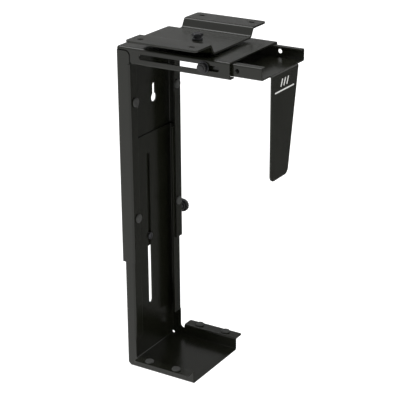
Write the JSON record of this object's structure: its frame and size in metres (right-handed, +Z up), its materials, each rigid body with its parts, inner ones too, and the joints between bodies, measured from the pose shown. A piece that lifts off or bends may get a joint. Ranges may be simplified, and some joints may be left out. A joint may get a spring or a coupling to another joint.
{
  "type": "under-desk computer holder",
  "caption": "Black folded-steel holder that hangs a computer case under a desk, with a swivelling L bracket, a height-adjusting shelf bracket and a sliding side clamp.",
  "frame": {"origin": "on the swivel axis, in the plane of the desk plate's flanges, which is the underside of the desk", "axes": "+X out along the arm from the upright to the side clamp, +Y back, away from the side with the width knob, +Z up towards the desk"},
  "size_m": [0.21, 0.172, 0.4686],
  "materials": {
    "sheet": "fine-grained black powder coat, satin",
    "pad": "matte grey rubber",
    "knob": "moulded black plastic, fluted rim",
    "fastener": "black zinc plating"
  },
  "bodies": {
    "desk_bracket": {"desk_plate": "sheet", "pivot_bolt": "fastener", "pivot_collar": "fastener", "pivot_spacer": "sheet", "pivot_under_washer": "fastener", "pivot_lock_nut": "fastener"},
    "swivel_frame": {"outer_bracket": "sheet", "guide_stud": "fastener", "guide_nut": "fastener", "upright_pad_1": "pad", "upright_pad_2": "pad", "upright_pad_3": "pad", "upright_pad_4": "pad", "height_weld_nut": "fastener"},
    "clamp_arm": {"side_clamp": "sheet", "width_weld_nut": "fastener", "clamp_pad_1": "pad", "clamp_pad_2": "pad"},
    "width_knob": {"width_knob_cap": "knob", "width_knob_screw": "fastener", "width_knob_washer": "fastener"},
    "lower_frame": {"lower_bracket": "sheet", "shelf_pad_1": "pad", "shelf_pad_2": "pad", "shelf_pad_3": "pad", "shelf_pad_4": "pad"},
    "height_knob": {"height_knob_cap": "knob", "height_knob_screw": "fastener"}
  },
  "joints": [
    {"name": "swivel", "type": "hinge", "parent": "desk_bracket", "child": "swivel_frame", "pos_m": [0, 0, 0], "axis": [0, 0, 1], "continuous": true},
    {"name": "height_slide", "type": "slide", "parent": "swivel_frame", "child": "lower_frame", "axis": [0, 0, 1], "range_m": [-0.114, 0.095]},
    {"name": "width_slide", "type": "slide", "parent": "swivel_frame", "child": "clamp_arm", "axis": [1, 0, 0], "range_m": [-0.087, 0.018]},
    {"name": "height_knob_turn", "type": "hinge", "parent": "swivel_frame", "child": "height_knob", "pos_m": [-0.0729, 0.071, -0.2754], "axis": [0, 1, 0], "range_deg": [0, 720]},
    {"name": "width_knob_turn", "type": "hinge", "parent": "clamp_arm", "child": "width_knob", "pos_m": [0.0455, -0.062, -0.0269], "axis": [0, -1, 0], "range_deg": [0, 720]}
  ]
}
